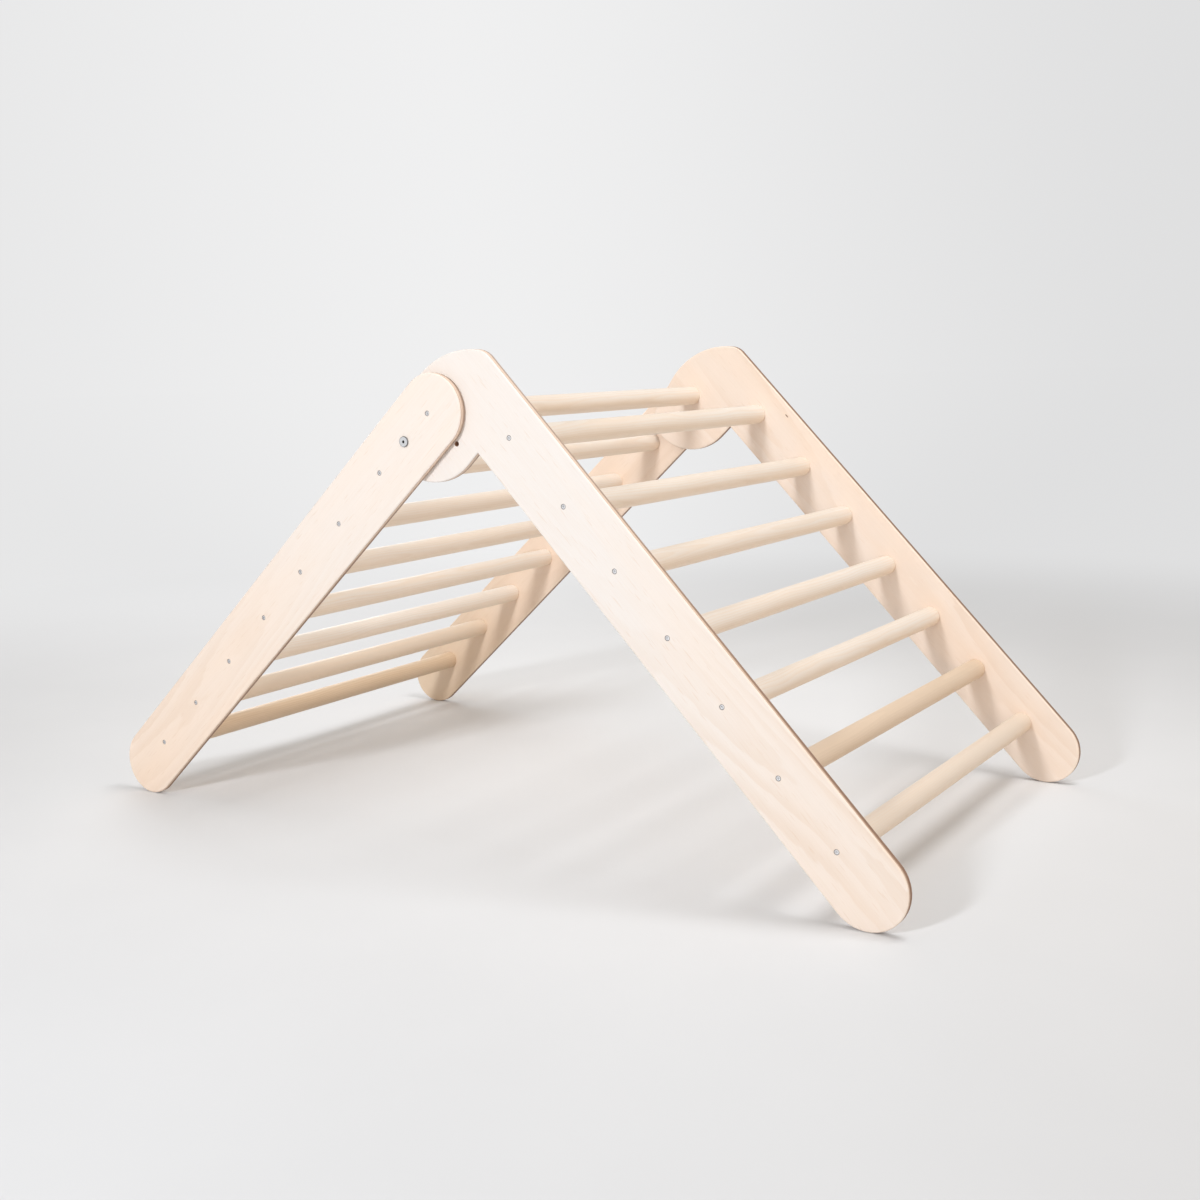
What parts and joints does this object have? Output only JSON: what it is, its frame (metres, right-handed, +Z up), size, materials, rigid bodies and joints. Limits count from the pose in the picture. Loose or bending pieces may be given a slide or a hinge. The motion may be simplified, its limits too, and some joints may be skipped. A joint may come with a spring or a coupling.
{
  "type": "folding climbing triangle",
  "caption": "Folding climbing triangle for children: hinged ladder frames of plywood side boards and round rungs, locked open by bolts through rounded heads.",
  "frame": {"origin": "on the floor, under the middle of the overall box, with the frames locked open", "axes": "+X towards the inner frame's feet, +Y along the rungs to the right side, +Z up"},
  "size_m": [1.3724, 0.7636, 0.7094],
  "materials": {
    "side_board": "fine sanded birch plywood, clear matt oil",
    "rung": "fine sanded solid birch, clear matt oil",
    "screw": "bright zinc",
    "lock_metal": "polished zinc"
  },
  "bodies": {
    "inner_frame": {"inner_board_left": "side_board", "inner_board_right": "side_board", "inner_rung_1": "rung", "inner_rung_2": "rung", "inner_rung_3": "rung", "inner_rung_4": "rung", "inner_rung_5": "rung", "inner_rung_6": "rung", "inner_rung_7": "rung", "inner_screws_left": "screw", "inner_screws_right": "screw"},
    "outer_frame": {"outer_board_left": "side_board", "outer_board_right": "side_board", "outer_rung_1": "rung", "outer_rung_2": "rung", "outer_rung_3": "rung", "outer_rung_4": "rung", "outer_rung_5": "rung", "outer_rung_6": "rung", "outer_rung_7": "rung", "outer_screws_left": "screw", "outer_screws_right": "screw", "pivot_rung": "rung", "pivot_screw_left": "screw", "pivot_screw_right": "screw"},
    "lock_bolt_left": {"lock_bolt_left": "lock_metal"},
    "lock_bolt_right": {"lock_bolt_right": "lock_metal"},
    "lock_nut_left": {"lock_nut_left": "lock_metal"},
    "lock_nut_right": {"lock_nut_right": "lock_metal"}
  },
  "joints": [
    {"name": "fold", "type": "hinge", "parent": "outer_frame", "child": "inner_frame", "pos_m": [-0.00344, 0, 0.62463], "axis": [0, 1, 0], "range_deg": [0, 91.25]},
    {"name": "bolt_left_out", "type": "slide", "parent": "outer_frame", "child": "lock_bolt_left", "axis": [0, -1, 0], "range_m": [0, 0.03]},
    {"name": "bolt_right_out", "type": "slide", "parent": "outer_frame", "child": "lock_bolt_right", "axis": [0, 1, 0], "range_m": [0, 0.03]},
    {"name": "nut_left_in", "type": "slide", "parent": "inner_frame", "child": "lock_nut_left", "axis": [0, 1, 0], "range_m": [0, 0.03]},
    {"name": "nut_right_in", "type": "slide", "parent": "inner_frame", "child": "lock_nut_right", "axis": [0, -1, 0], "range_m": [0, 0.03]}
  ]
}
